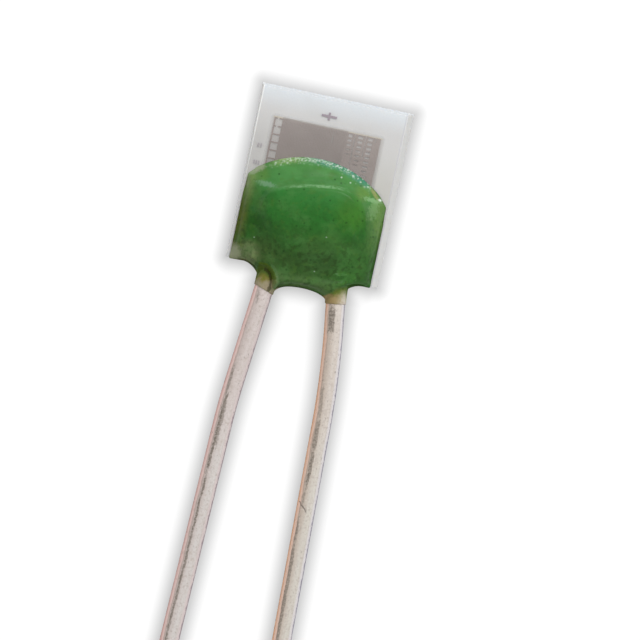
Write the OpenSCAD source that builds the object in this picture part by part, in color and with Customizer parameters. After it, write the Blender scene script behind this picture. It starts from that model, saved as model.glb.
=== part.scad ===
// Flat thin-film resistance temperature detector.
// The chip lies on its back. The origin is the centre of the back face, +Z leaves the film side,
// and the two lead wires run towards -Y. All sizes are millimetres.

/* [Ceramic chip] */
// Width of the chip, across the leads
chip_w = 2.0; // [1.96:0.01:2.1]
// Length of the chip, from the lead edge to the far edge
chip_l = 2.3; // [2.25:0.05:2.6]
// Thickness of the ceramic
chip_t = 0.4; // [0.3:0.05:0.65]
// Width of the broken edge on the left
left_break = 0.045; // [0.03:0.005:0.08]
// Width of the broken edge on the right
right_break = 0.095; // [0.05:0.005:0.12]
// Width of the broken edge at the far end
far_break = 0.04; // [0.02:0.005:0.08]
// Depth of the scribe cut that the chip was snapped along
scribe_depth = 0.13; // [0.06:0.01:0.2]

/* [Platinum film] */
// Thickness drawn for the film, which is about a thousandth of a millimetre on a real chip
film_t = 0.008; // [0.006:0.001:0.012]
// Distance from the lead edge to the film's far line
film_top = 1.885; // [1.8:0.005:1.92]
// Number of strips in the meander
strips = 45; // [25:2:51]
// Width of the gap between two strips
gap_w = 0.004; // [0.003:0.0005:0.005]
// Number of rows in the fine trimming ladders
ladder_rows = 14; // [8:1:16]

/* [Passivation and pads] */
// Height of the clear glass over the film
clear_t = 0.02; // [0.014:0.002:0.024]
// Height of a contact pad above the film
pad_t = 0.022; // [0.022:0.002:0.03]
// Width of a contact pad
pad_w = 0.5; // [0.42:0.02:0.54]

/* [Lead wires] */
// Diameter of the wire
wire_d = 0.25; // [0.2:0.01:0.28]
// Length of wire beyond the chip's lead edge
lead_l = 10; // [8:0.5:15]
// How far the bonding tool pressed the wire into the pad
wire_press = 0.015; // [0.01:0.005:0.02]

/* [Glaze] */
// Height of the first step of the drop above the ceramic
terrace_h = 0.27; // [0.22:0.01:0.3]
// Further height of the second step
shoulder_h = 0.15; // [0.1:0.01:0.2]
// Further rise to the middle of the crown
crown_h = 0.11; // [0.05:0.01:0.15]
// Reach of the glaze past the lead edge, half way between the leads
web_reach = 0.205; // [0.18:0.005:0.24]
// Radius of the burst bubble beside the left lead
bubble_r = 0.26; // [0.24:0.005:0.275]

/* [Hidden] */

// Places across the chip are measured from its centre line, and places along it from the lead edge.
// The film: a bar at each side, the meander's field, and three columns of trimming cells
film_left = -0.755;
film_right = 0.645;
film_low = 0.75;
bar_left_w = 0.02;
bar_right_w = 0.06;
field_left = -0.645;
field_right = 0.215;
turn_w = 0.03;
wide_gap_x = 0.022;
wide_gap_w = 0.014;
run_w = 0.04;
rung_pitch = 0.1045;
rung_w = 0.018;
rungs = 9;
rungs_cut = 2;
cell_pitch = 0.06;
cell_tall = 0.038;
cell_least = 0.006;
// Each column of cells: its left side, its width, and how much lower each cell is than the one above it
cell_columns = [[0.225, 0.052, 0.007], [0.355, 0.062, 0.005], [0.482, 0.064, 0.0025]];
// Each trimming cut: its left side and where it stopped
trim_cuts = [[0.306, film_low + turn_w], [0.446, 1.6], [0.576, 1.82]];
trim_w = 0.009;
cross_at = [-0.068, film_top + 0.151];
cross_arm = [0.2, 0.028];
cross_post = [0.026, 0.1];
tick = [0.016, 0.05];
// Each group of ticks: its corner, the step from tick to tick, and how many
tick_groups = [[[-0.895, 1.465], 0.036, 2], [[-0.905, 1.24], 0.03, 3]];

// The pads and the clear glass, whose two far corners are round
pad_low = 0.06;
pad_high = 0.62;
pad_left_x = -0.62;
pad_right_x = 0.64 - pad_w;
clear_edge = 0.05;
clear_corner = 0.06;
film_z = chip_t + film_t;
pad_z = film_z + pad_t;

// Each lead: where it crosses the lead edge, its angle there, its angle at the tip, where its bend
// starts and the radius of that bend. Angles are outward from the chip's length.
LEFT = [-0.40, 5.6, 1.8, 1.55, 9];
RIGHT = [0.468, 8, 1.6, 0.6, 11.6];
wire_r = wire_d / 2;
axis_z = pad_z + wire_r - wire_press;
// The bonded end reaches in over the pad, and the tool left a flat on its last part
foot_in = 0.55;
foot_flat_z = pad_z + 0.17;
foot_flat_l = 0.3;
// The wire bends down outside the glaze, until its tip lies on the surface that the chip lies on
dip_start = 0.42;
dip_r = 1.2;
dip = asin((axis_z - wire_r) / (lead_l - dip_start));

// The drop's outline. It stops at the broken edges on both sides, and its far end is one arc.
drop_r = 1.286;
drop_mid = [-0.061, 0.1955];
glaze_left = -chip_w / 2 + left_break;
glaze_right = chip_w / 2 - right_break;
glaze_edge = -0.02;
corner_cut = 0.02;
// The second step's outline is a rounded frame about the drop's heart, set a little askew
heart = [0.02, 0.56];
step_half_w = 0.74;
step_half_l = 0.62;
step_power = 3.2;
step_skew = 11;
// The first step stands this much higher where it runs out over the leads
over_leads_h = 0.08;
// Each collar's end past the lead edge. The left one's end is slanted, and its inner side reaches further.
collar_left_l = 0.325;
collar_right_l = 0.32;
collar_slant = 14;
collar_wide = 0.2;
collar_skin = 0.012;
// Thickness of the glaze left on the wire where the bubble burst
wire_skin = 0.007;
bubble_at = [-0.56, -0.24, axis_z + 0.28];
rim_h = 0.012;
sunk = 0.07;

// A curve from a towards b that ends at c, and a straight run, both without their last point
function bend(a, b, c, n) = [
    for (i = [0:n - 1])
        let (t = i / n)
        (1 - t) * (1 - t) * a + 2 * t * (1 - t) * b + t * t * c
];
function run_of(a, b, n) = [for (i = [0:n - 1]) a + (b - a) * i / n];

// From 0 to 1 with a soft start and end
function ease(t) = let (k = min(1, max(0, t))) k * k * (3 - 2 * k);

// Moves what is placed from the lead edge to the frame of the whole part
module from_lead_edge() {
    translate([0, -chip_l / 2, 0])
        children();
}

// A prism that takes the broken edge off the top of a side. It cuts at the +X side of the origin's
// plane and runs along Y, with one width at each end.
module edge_break(width_near, width_far, length) {
    slant = atan((width_far - width_near) / length);
    slope = 2 * scribe_depth / (width_near + width_far);
    over = 0.2;
    above = 0.03;
    translate([-width_near, 0, chip_t])
        rotate([90, 0, 180 + slant])
            translate([0, 0, -over])
                linear_extrude(length + 2 * over)
                    polygon([[above, above * slope], [-over, -over * slope], [-over, above * slope]]);
}

module substrate_block() {
    translate([-chip_w / 2, 0, 0])
        cube([chip_w, chip_l, chip_t]);
}

module substrate() {
    narrowing = 0.025;
    color("#e3e6e8")
        from_lead_edge()
            difference() {
                substrate_block();
                translate([chip_w / 2, 0, 0])
                    edge_break(right_break, right_break - narrowing, chip_l);
                mirror([1, 0, 0])
                    translate([chip_w / 2, 0, 0])
                        edge_break(left_break, left_break - narrowing, chip_l);
                translate([0, chip_l, 0])
                    rotate([0, 0, 90])
                        translate([0, -chip_w / 2, 0])
                            edge_break(far_break, far_break, chip_w);
            }
}

// The meander's gaps are open at the top and at the bottom by turns
module meander_gaps() {
    pitch = (field_right - field_left) / strips;
    open_end = 0.01;
    length = film_top - film_low - turn_w + open_end;
    for (i = [1:strips - 1])
        translate([
            field_left + i * pitch - gap_w / 2,
            film_low + (i % 2 == 0 ? -open_end : turn_w)
        ])
            square([gap_w, length]);
    // One gap is cut wider near the top
    translate([wide_gap_x, film_top - 0.185])
        square([wide_gap_w, 0.155]);
}

// One column of cells, which leaves the rungs of a ladder standing. The cells grow towards the top,
// and a column ends where they have closed.
module ladder_cells(x, width, fall) {
    first_at = 0.035;
    for (i = [0:ladder_rows - 1]) {
        height = cell_tall - i * fall;
        if (height > cell_least)
            translate([x, film_top - first_at - i * cell_pitch - height / 2])
                square([width, height]);
    }
}

// The coarse ladder between the left bar and the field. Its upper rungs are cut through.
module coarse_ladder() {
    cut_x = 0.04;
    cut_w = 0.026;
    difference() {
        for (i = [0:rungs - 1])
            translate([film_left, film_top - rung_w - i * rung_pitch])
                square([field_left - film_left + 0.01, rung_w]);
        for (i = [0:rungs_cut - 1])
            translate([film_left + cut_x, film_top - 1.5 * rung_w - i * rung_pitch])
                square([cut_w, 2 * rung_w]);
    }
}

// The film in plan, down to the pads, with the lands that lie under the pads
module film_shape() {
    down_to = pad_high - 0.02;
    difference() {
        union() {
            translate([field_left, film_low])
                square([film_right - field_left, film_top - film_low]);
            coarse_ladder();
            translate([film_left, down_to])
                square([bar_left_w, film_top - down_to]);
            translate([film_left, pad_high - run_w / 2])
                square([pad_left_x - film_left + 0.1, run_w]);
            translate([film_right - bar_right_w, down_to])
                square([bar_right_w, film_low - down_to + 0.02]);
        }
        meander_gaps();
        for (column = cell_columns)
            ladder_cells(column[0], column[1], column[2]);
        for (cut = trim_cuts)
            translate(cut)
                square([trim_w, film_top]);
        translate([-chip_w, pad_high - 1])
            square([2 * chip_w, 1]);
    }
    land(pad_left_x);
    land(pad_right_x);
}

module land(x) {
    translate([x, pad_low])
        square([pad_w, pad_high - pad_low]);
}

module platinum_track() {
    color("#8f8783")
        from_lead_edge()
            translate([0, 0, chip_t])
                linear_extrude(film_t)
                    film_shape();
}

module alignment_cross() {
    color("#77727d")
        from_lead_edge()
            translate([cross_at[0], cross_at[1], chip_t])
                linear_extrude(film_t) {
                    square(cross_arm, center = true);
                    square(cross_post, center = true);
                }
}

// Plain ticks beside the film, a pair and a row of three
module position_ticks() {
    color("#9a969a")
        from_lead_edge()
            translate([0, 0, chip_t])
                linear_extrude(film_t)
                    for (group = tick_groups, i = [0:group[2] - 1])
                        translate(group[0] + [i * group[1], 0])
                            square(tick);
}

module clear_block() {
    x_low = film_left - clear_edge;
    x_high = film_right + clear_edge;
    y_high = film_top + clear_edge;
    translate([0, 0, chip_t])
        linear_extrude(clear_t) {
            translate([x_low + clear_corner, pad_high])
                square([x_high - x_low - 2 * clear_corner, y_high - pad_high]);
            translate([x_low, pad_high])
                square([x_high - x_low, y_high - clear_corner - pad_high]);
            for (x = [x_low + clear_corner, x_high - clear_corner])
                translate([x, y_high - clear_corner])
                    circle(r = clear_corner, $fn = 48);
        }
}

// The clear glass lies over the film and in its gaps
module passivation_glass() {
    under = 0.1;
    color("#dfe4e6", 0.5)
        from_lead_edge()
            difference() {
                clear_block();
                translate([0, 0, chip_t - under])
                    linear_extrude(film_t + under)
                        film_shape();
            }
}

module pad_block(x) {
    translate([0, 0, film_z])
        linear_extrude(pad_t)
            land(x);
}

// A pad with the film's land under it
module pad_stack(x) {
    translate([0, 0, chip_t])
        linear_extrude(film_t + pad_t)
            land(x);
}

module contact_pad_left() {
    color("#a9a39c")
        from_lead_edge()
            pad_block(pad_left_x);
}

module contact_pad_right() {
    color("#a9a39c")
        from_lead_edge()
            pad_block(pad_right_x);
}

// Puts what follows on a lead's axis: +Z runs out along the wire from where it crosses the lead
// edge, +X stays level and +Y points up
module on_lead(lead) {
    translate([lead[0], 0, axis_z])
        rotate([0, 0, sign(lead[0]) * lead[1]])
            rotate([90, 0, 0])
                children();
}

// A wire from the origin along +Z. Each step is a straight length, then a bend by an angle, at a
// radius, towards a direction round the wire.
module bent_wire(steps, i = 0) {
    if (i < len(steps)) {
        straight = steps[i][0];
        angle = steps[i][1];
        radius = steps[i][2];
        towards = steps[i][3];
        cylinder(h = straight, r = wire_r, $fn = 48);
        if (angle > 0)
            translate([0, 0, straight])
                rotate([0, 0, towards]) {
                    translate([radius, 0, 0])
                        rotate([90, 0, 180])
                            rotate_extrude(angle = angle, $fn = 360)
                                translate([radius, 0])
                                    circle(r = wire_r, $fn = 48);
                    translate([radius * (1 - cos(angle)), 0, radius * sin(angle)])
                        rotate([0, angle, 0])
                            rotate([0, 0, -towards])
                                bent_wire(steps, i + 1);
                }
    }
}

// A lead as it was bonded: straight through the glaze, bent down past it, and bent sideways to run
// nearly along the chip's length. Its end lies flat on the pad.
module bonded_lead(lead) {
    inner = foot_in / cos(lead[1]);
    turn = lead[1] - lead[2];
    dip_arc = dip_r * dip * PI / 180;
    turn_arc = lead[4] * turn * PI / 180;
    middle = lead[3] - dip_start - dip_arc;
    rest = lead_l - lead[3] - turn_arc;
    inward = lead[0] > 0 ? 180 : 0;
    big = 1;
    difference() {
        on_lead(lead)
            translate([0, 0, -inner])
                bent_wire([
                    [inner + dip_start, dip, dip_r, -90],
                    [middle, turn, lead[4], inward],
                    [rest, 0, 0, 0]
                ]);
        translate([lead[0] - big / 2, pad_low, pad_z - big])
            cube(big);
        translate([lead[0] - big / 2, foot_in - foot_flat_l, foot_flat_z])
            cube(big);
    }
}

module lead_wire_left() {
    color("#c9bdb2")
        from_lead_edge()
            bonded_lead(LEFT);
}

module lead_wire_right() {
    color("#c9bdb2")
        from_lead_edge()
            bonded_lead(RIGHT);
}

// Points of the drop's far arc, and where a lead's axis has got to past the lead edge
function on_arc(x) = [x, drop_mid[1] + sqrt(drop_r * drop_r - pow(x - drop_mid[0], 2))];
function far_arc(x_from, x_to, n) =
    let (a = acos((x_from - drop_mid[0]) / drop_r), b = acos((x_to - drop_mid[0]) / drop_r))
    [for (i = [0:n - 1]) let (t = a + (b - a) * i / n) drop_mid + drop_r * [cos(t), sin(t)]];
function on_axis(lead, past) = [lead[0] + sign(lead[0]) * past * tan(lead[1]), -past];

// The drop in plan, from the right corner of the lead edge round by the far arc. Past the lead
// edge it draws in to each collar and spans the leads as a web.
right_foot = [glaze_right, glaze_edge];
left_foot = [glaze_left, glaze_edge];
right_rise = on_arc(glaze_right) - [0, corner_cut];
left_rise = on_arc(glaze_left) - [0, corner_cut];
right_turn = on_arc(glaze_right - corner_cut);
left_turn = on_arc(glaze_left + corner_cut);
left_draw = [-0.76, -0.012];
right_draw = [0.8, glaze_edge];
left_hold = on_axis(LEFT, 0.33);
right_hold = on_axis(RIGHT, 0.29);
web_left = [-0.31, -0.355];
web_right = [0.375, -0.285];
web_mid = [0.05, -web_reach];
OUTLINE = concat(
    run_of(right_foot, right_rise, 9),
    bend(right_rise, on_arc(glaze_right), right_turn, 4),
    far_arc(right_turn[0], left_turn[0], 34),
    bend(left_turn, on_arc(glaze_left), left_rise, 4),
    run_of(left_rise, left_foot, 9),
    run_of(left_foot, left_draw, 3),
    bend(left_draw, [-0.58, -0.03], left_hold, 8),
    run_of(left_hold, web_left, 3),
    bend(web_left, [-0.27, -web_reach], web_mid, 8),
    bend(web_mid, [0.28, -web_reach], web_right, 8),
    run_of(web_right, right_hold, 3),
    bend(right_hold, [0.6, -0.03], right_draw, 8),
    run_of(right_draw, right_foot, 3)
);

// How far out a point lies on the second step's frame: 0 in the heart and 1 on the outline
function step_norm(p) =
    let (
        d = p - heart,
        along = d[0] * cos(step_skew) + d[1] * sin(step_skew),
        across = d[1] * cos(step_skew) - d[0] * sin(step_skew)
    )
    pow(
        pow(abs(along) / step_half_w, step_power) + pow(abs(across) / step_half_l, step_power),
        1 / step_power
    );

// A point of the drop in plan: level 0 is on the outline, 1 on the second step, 2 in the heart
function plan(p, level) =
    let (step = heart + (p - heart) / step_norm(p))
    level < 1 ? p + (step - p) * level : step + (heart - step) * (level - 1);

// How far the glaze has swelled at a distance from an edge that pins it
function swell(distance, width) = 1 - pow(1 - min(1, max(0, distance) / width), 2);

// The drop's height inside its rim. It thins out to the sides, to the far arc and to the two
// corners beside the leads, and the second step is steep at the far side and fades at the leads.
function full_z(p) =
    let (
        sides = swell(p[0] - glaze_left + 0.03, 0.26) * swell(glaze_right - p[0] + 0.03, 0.22),
        far = swell(drop_r - norm(p - drop_mid) + 0.05, 0.4),
        beside_leads = ease((abs(p[0] - 0.03) - 0.5) / 0.35),
        corners = 1 - beside_leads * (1 - swell(p[1] - glaze_edge + 0.05, 0.32)),
        fade = 0.26 + 0.5 * ease((0.8 - p[1]) / 0.6),
        second = shoulder_h * ease((1.1 - step_norm(p)) / fade),
        crown = crown_h * (1 - pow(min(1, step_norm(p)), 2)),
        first = terrace_h + over_leads_h * ease((0.15 - p[1]) / 0.3)
    )
    chip_t + first * sides * far * corners + second + crown;

// Both skins leave the rim steeply and round over. Past the lead edge the rim leaves the ceramic
// for the wires' level. Over the chip the lower skin is sunk in the ceramic that is cut away later.
function off_chip(y) = ease(-y / 0.14);
function rim_turn(y, level) = 1 - pow(1 - min(1, level / (0.32 + 0.5 * off_chip(y))), 2.6);
function top_z(p, level) =
    let (rim = chip_t + rim_h + (axis_z - chip_t) * off_chip(p[1]))
    rim + (full_z(p) - rim) * rim_turn(p[1], level);
function low_z(p, level) =
    let (
        rim = axis_z - 0.03,
        web = rim - (wire_r - 0.02) * rim_turn(p[1], level)
    )
    chip_t - sunk + (web - chip_t + sunk) * off_chip(p[1]);

TOP_LEVELS = [0, 0.03, 0.08, 0.15, 0.24, 0.35, 0.48, 0.62, 0.74, 0.84, 0.92, 1, 1.08, 1.17, 1.3, 1.5, 1.75];
LOW_LEVELS = [1.3, 0.6, 0.3, 0.12, 0.04];

// Skins are rings of points from the crown out to the rim, and on under it to the middle
module drop_form() {
    n = len(OUTLINE);
    rings = concat(
        [for (i = [len(TOP_LEVELS) - 1:-1:0]) [TOP_LEVELS[i], true]],
        [for (i = [len(LOW_LEVELS) - 1:-1:0]) [LOW_LEVELS[i], false]]
    );
    last = len(rings) - 1;
    crown = n * len(rings);
    points = concat(
        [for (ring = rings, p = OUTLINE)
            let (q = plan(p, ring[0]))
            [q[0], q[1], ring[1] ? top_z(q, ring[0]) : low_z(q, ring[0])]],
        [[heart[0], heart[1], top_z(heart, 2)], [heart[0], heart[1], low_z(heart, 2)]]
    );
    faces = concat(
        [for (i = [0:n - 1]) [crown, (i + 1) % n, i]],
        [for (r = [0:last - 1], i = [0:n - 1], half = [0:1])
            let (a = r * n + i, b = r * n + (i + 1) % n)
            half == 0 ? [a, b, a + n] : [b, b + n, a + n]],
        [for (i = [0:n - 1]) [crown + 1, last * n + i, last * n + (i + 1) % n]]
    );
    polyhedron(points = points, faces = faces, convexity = 4);
}

// A meniscus that climbs a wire: a trumpet round the wire's axis, wide in the drop and thin at its
// end. The wire's own way through it is left to the last cut.
module collar(lead, length) {
    mouth = 0.06;
    thin = wire_r + collar_skin;
    wall = bend([collar_wide, -mouth], [thin, mouth], [thin, length], 10);
    on_lead(lead)
        rotate_extrude($fn = 64)
            polygon(concat([[0, -mouth]], wall, [[thin, length], [0, length]]));
}

// The left collar ends on a slant, so it is made too long and cut
module left_collar_cut() {
    on_lead(LEFT)
        translate([0, 0, collar_left_l])
            rotate([0, -collar_slant, 0])
                translate([-0.5, -0.5, 0])
                    cube([1, 1, 0.5]);
}

module fixing_glaze() {
    spare = 0.07;
    skin_from = 0.1;
    color("#2f7338")
        from_lead_edge()
            difference() {
                union() {
                    difference() {
                        union() {
                            drop_form();
                            collar(LEFT, collar_left_l + spare);
                            collar(RIGHT, collar_right_l);
                        }
                        // The burst bubble lays the left lead open where it leaves the drop. The
                        // sphere is turned so that its poles are clear of the glaze.
                        translate(bubble_at)
                            rotate([90, 0, 0])
                                sphere(r = bubble_r, $fn = 48);
                    }
                    // A thin skin of glaze stays on the wire
                    on_lead(LEFT)
                        translate([0, 0, -skin_from])
                            cylinder(h = skin_from + collar_left_l + spare, r = wire_r + wire_skin, $fn = 48);
                }
                left_collar_cut();
                substrate_block();
                clear_block();
                pad_stack(pad_left_x);
                pad_stack(pad_right_x);
                bonded_lead(LEFT);
                bonded_lead(RIGHT);
            }
}

substrate();
platinum_track();
alignment_cross();
position_ticks();
passivation_glass();
contact_pad_left();
contact_pad_right();
lead_wire_left();
lead_wire_right();
fixing_glaze();
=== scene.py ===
"""The looks of a flat thin-film resistance temperature detector, built round its CAD frame."""

import math

import bmesh
import bpy
import numpy as np
from mathutils import Matrix, Vector, noise


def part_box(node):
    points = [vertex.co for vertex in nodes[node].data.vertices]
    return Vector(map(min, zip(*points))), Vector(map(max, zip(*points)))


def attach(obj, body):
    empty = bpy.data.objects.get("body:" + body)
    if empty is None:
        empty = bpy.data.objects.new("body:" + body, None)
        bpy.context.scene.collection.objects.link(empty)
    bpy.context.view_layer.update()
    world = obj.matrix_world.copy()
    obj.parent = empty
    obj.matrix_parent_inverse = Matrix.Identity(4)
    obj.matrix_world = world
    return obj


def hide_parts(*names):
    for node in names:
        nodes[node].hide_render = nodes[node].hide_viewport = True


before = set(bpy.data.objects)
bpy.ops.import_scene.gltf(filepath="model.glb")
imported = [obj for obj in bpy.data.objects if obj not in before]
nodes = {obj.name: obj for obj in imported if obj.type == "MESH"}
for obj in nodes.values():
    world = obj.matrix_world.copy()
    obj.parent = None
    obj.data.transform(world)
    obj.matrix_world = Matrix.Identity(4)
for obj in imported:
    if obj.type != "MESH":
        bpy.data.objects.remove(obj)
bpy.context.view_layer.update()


# Ceramic chip
# White alumina, pressed flat and fired, then scribed with a laser and snapped out of its plate. The snapped
# sides keep the slope of the scribe cut at the film side and are rough and slightly wavy below it.
MM = 0.001
chip_low, chip_high = (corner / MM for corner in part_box("substrate"))
chip_top = chip_high.z
scribe_depth = 0.13
scribe_low = chip_top - scribe_depth
scribe_steps = 8
foot_bevel, lead_edge_bevel = 0.004, 0.006
# How far the scribe cut draws each side in at the film side, at the lead end and at the far end
far_break = 0.04
left_break_near, left_break_far = 0.045, 0.02
right_break_near, right_break_far = 0.095, 0.07
# The snapped sides are rough and scalloped, the long ones less so, and this fades out near the corners
side_points, point_gap = 170, 0.0125
corner_fade = 0.04
snap_rough = 0.0035
snap_grain = 0.03
scallop_pitch = 0.085
scallop_depth = 0.003
long_side_share = 0.3


def put_in_scene(name, data):
    made = bpy.data.objects.new(name, data)
    bpy.context.scene.collection.objects.link(made)
    return made


def keep_at_points(mesh, **values):
    """Keeps values at the points of a mesh, for its finish to follow."""
    for name, per_point in values.items():
        layer = mesh.attributes.new(name, "FLOAT", "POINT")
        layer.data.foreach_set("value", per_point)


def mesh_piece(name, points, faces, smooth=True):
    """A closed mesh from points in millimetres, as a piece that rides on the only body."""
    mesh = bpy.data.meshes.new(name)
    mesh.from_pydata([tuple(c * MM for c in p) for p in points], [], faces)
    work = bmesh.new()
    work.from_mesh(mesh)
    bmesh.ops.recalc_face_normals(work, faces=work.faces)
    work.to_mesh(mesh)
    work.free()
    mesh.shade_smooth() if smooth else mesh.shade_flat()
    piece = put_in_scene(name, mesh)
    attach(piece, "root")
    return piece


def ring_faces(count, size):
    """The bands between rings of equally many points, a cap on the first ring and one on the last."""
    bands = []
    for r in range(count - 1):
        for i in range(size):
            j = (i + 1) % size
            bands.append((r * size + i, r * size + j, (r + 1) * size + j, (r + 1) * size + i))
    return bands, tuple(range(size - 1, -1, -1)), tuple(range((count - 1) * size, count * size))


def ringed_piece(name, rings, smooth=True):
    points = [p for ring in rings for p in ring]
    bands, first_cap, last_cap = ring_faces(len(rings), len(rings[0]))
    return mesh_piece(name, points, [first_cap, *bands, last_cap], smooth)


def crumble(x, y, z, grain):
    """From -1 to 1, like the surface of a broken ceramic with that grain."""
    p = Vector((x, y, z)) / grain
    return 0.6 * noise.noise(p) + 0.3 * noise.noise(p * 2.3) + 0.15 * noise.noise(p * 5.1)


def chip_ring(from_left, from_right, from_far, from_near, z, rough):
    """One ring round the chip at height z, drawn in from each side by its own amount."""
    corners = [
        (chip_low.x + from_left[0], chip_low.y + from_near),
        (chip_high.x - from_right[0], chip_low.y + from_near),
        (chip_high.x - from_right[1], chip_high.y - from_far),
        (chip_low.x + from_left[1], chip_high.y - from_far),
    ]
    into_chip = [(0, 1), (-1, 0), (0, -1), (1, 0)]
    ring = []
    for side in range(4):
        (ax, ay), (bx, by) = corners[side], corners[(side + 1) % 4]
        nx, ny = into_chip[side]
        for i in range(side_points):
            t = i / side_points
            x, y = ax + (bx - ax) * t, ay + (by - ay) * t
            from_corner = min(t, 1 - t) * side_points * point_gap
            along = x if nx == 0 else y
            scallop = scallop_depth * abs(math.sin(math.pi * along / scallop_pitch)) if 0 < rough else 0
            depth = rough * (1 + crumble(x, y, z + 3 * side, snap_grain)) + scallop
            depth *= long_side_share if nx else 1
            depth *= min(1, from_corner / corner_fade)
            ring.append((x + nx * depth, y + ny * depth, z))
    return ring


# A bevelled foot, then the upright snapped part, then the slope of the scribe cut
foot = (foot_bevel, foot_bevel)
chip_rings = [chip_ring(foot, foot, foot_bevel, foot_bevel, chip_low.z, 0)]
for z in (0.006, 0.03, 0.07, 0.11, 0.15, 0.19, 0.23):
    chip_rings.append(chip_ring((0, 0), (0, 0), 0, 0, chip_low.z + z, snap_rough))
for step in range(scribe_steps + 1):
    up = step / scribe_steps
    at_top = step == scribe_steps
    chip_rings.append(
        chip_ring(
            (left_break_near * up, left_break_far * up),
            (right_break_near * up, right_break_far * up),
            far_break * up,
            lead_edge_bevel if at_top else 0.0,
            scribe_low + (chip_top - scribe_low) * up,
            snap_rough * (0.6 if at_top else 1),
        )
    )
chip = ringed_piece("snapped_chip", chip_rings, smooth=False)
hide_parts("substrate")


def paint(red, green, blue):
    """A colour as it looks on a screen, from 0 to 255, as Blender's linear colour."""
    linear = [((c / 255 + 0.055) / 1.055) ** 2.4 if c > 10 else c / 255 / 12.92 for c in (red, green, blue)]
    return (*linear, 1.0)


class Finish:
    """A procedural material whose patterns are placed in millimetres on the part."""

    def __init__(self, name, roughness, metallic=0.0):
        self.material = bpy.data.materials.new(name)
        self.material.use_nodes = True
        self.tree = self.material.node_tree
        self.shader = self.tree.nodes["Principled BSDF"]
        self.set(Roughness=roughness, Metallic=metallic)
        self.place = self.add("ShaderNodeTexCoord").outputs["Object"]

    def feed(self, socket, value):
        if isinstance(value, bpy.types.NodeSocket):
            self.tree.links.new(value, socket)
        else:
            socket.default_value = value

    def add(self, kind, inputs=(), **settings):
        """A node with its inputs linked to sockets or set to values."""
        node = self.tree.nodes.new(kind)
        for key, value in settings.items():
            setattr(node, key, value)
        for key, value in dict(inputs).items():
            self.feed(node.inputs[key], value)
        return node

    def set(self, **values):
        """Links or sets the shader's own inputs."""
        for key, value in values.items():
            self.feed(self.shader.inputs[key.replace("_", " ")], value)

    def in_mm(self, stretch=(1, 1, 1)):
        """The place on the part in millimetres, stretched along each axis."""
        scale = [s / MM for s in stretch]
        return self.add("ShaderNodeMapping", {"Vector": self.place, "Scale": scale}).outputs["Vector"]

    def grain(self, size, detail=3.0, stretch=(1, 1, 1), rough=0.55):
        """Noise from 0 to 1 with blots of about that size in millimetres."""
        where = self.in_mm([s / size for s in stretch])
        inputs = {"Vector": where, "Scale": 1.0, "Detail": detail, "Roughness": rough}
        return self.add("ShaderNodeTexNoise", inputs).outputs["Fac"]

    def ramp(self, value, low, high, to_low=0.0, to_high=1.0, smooth=True):
        """Goes from to_low to to_high while the value goes from low to high."""
        kind = "SMOOTHSTEP" if smooth else "LINEAR"
        node = self.add(
            "ShaderNodeMapRange",
            {"Value": value, "From Min": low, "From Max": high, "To Min": to_low, "To Max": to_high},
            interpolation_type=kind,
        )
        return node.outputs["Result"]

    def maths(self, kind, a, b):
        return self.add("ShaderNodeMath", {0: a, 1: b}, operation=kind).outputs[0]

    def times(self, a, b):
        return self.maths("MULTIPLY", a, b)

    def plus(self, a, b):
        return self.maths("ADD", a, b)

    def larger(self, a, b):
        return self.maths("MAXIMUM", a, b)

    def mix(self, share, a, b):
        """Colour a with that share of colour b mixed in."""
        node = self.add("ShaderNodeMix", data_type="RGBA")
        for key, value in (("Factor_Float", share), ("A_Color", a), ("B_Color", b)):
            self.feed(next(s for s in node.inputs if s.identifier == key), value)
        return next(s for s in node.outputs if s.identifier == "Result_Color")

    def lay(self, where, share, a, b):
        """Colour a with that share of colour b laid over it where the first value is 1."""
        return self.mix(self.times(where, share), a, b)

    def near(self, x, y, full, none):
        """1 within full millimetres of a place in plan and 0 past none."""
        away = self.add(
            "ShaderNodeVectorMath", {0: self.in_mm((1, 1, 0)), 1: (x, y, 0.0)}, operation="DISTANCE"
        )
        return self.ramp(away.outputs["Value"], none, full)

    def dots(self, spacing, radius):
        """Scattered round spots in plan, of uneven strength, about that far apart, in millimetres."""
        in_cells = self.in_mm((1 / spacing, 1 / spacing, 0))
        cells = self.add("ShaderNodeTexVoronoi", {"Vector": in_cells, "Scale": 1.0})
        uneven = self.add("ShaderNodeSeparateColor", {"Color": cells.outputs["Color"]}).outputs["Red"]
        spot = self.ramp(cells.outputs["Distance"], radius / spacing, 0.4 * radius / spacing)
        return self.times(spot, self.ramp(uneven, 0.1, 0.9))

    def along(self, direction, low, high):
        """0 below low and 1 above high, measured in millimetres in that direction."""
        reach = self.add("ShaderNodeVectorMath", {0: self.in_mm(), 1: direction}, operation="DOT_PRODUCT")
        return self.ramp(reach.outputs["Value"], low, high)

    def measured(self, name):
        """A value that the mesh holds at each point."""
        return self.add("ShaderNodeAttribute", attribute_name=name, attribute_type="GEOMETRY").outputs["Fac"]

    def relief(self, height, depth, onto=None):
        """Bump from a height of 0 to 1, that many millimetres deep."""
        inputs = {"Height": height, "Distance": depth * MM, "Strength": 1.0}
        if onto is not None:
            inputs["Normal"] = onto
        return self.add("ShaderNodeBump", inputs).outputs["Normal"]

    def on(self, *pieces):
        """Gives these pieces this finish."""
        for piece in pieces:
            piece.data.materials.clear()
            piece.data.materials.append(self.material)


alumina = Finish("fired_alumina", 0.5)
right, outward, inward = (1.0, 0.0, 0.0), (0.0, 1.0, 0.0), (0.0, -1.0, 0.0)
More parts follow.
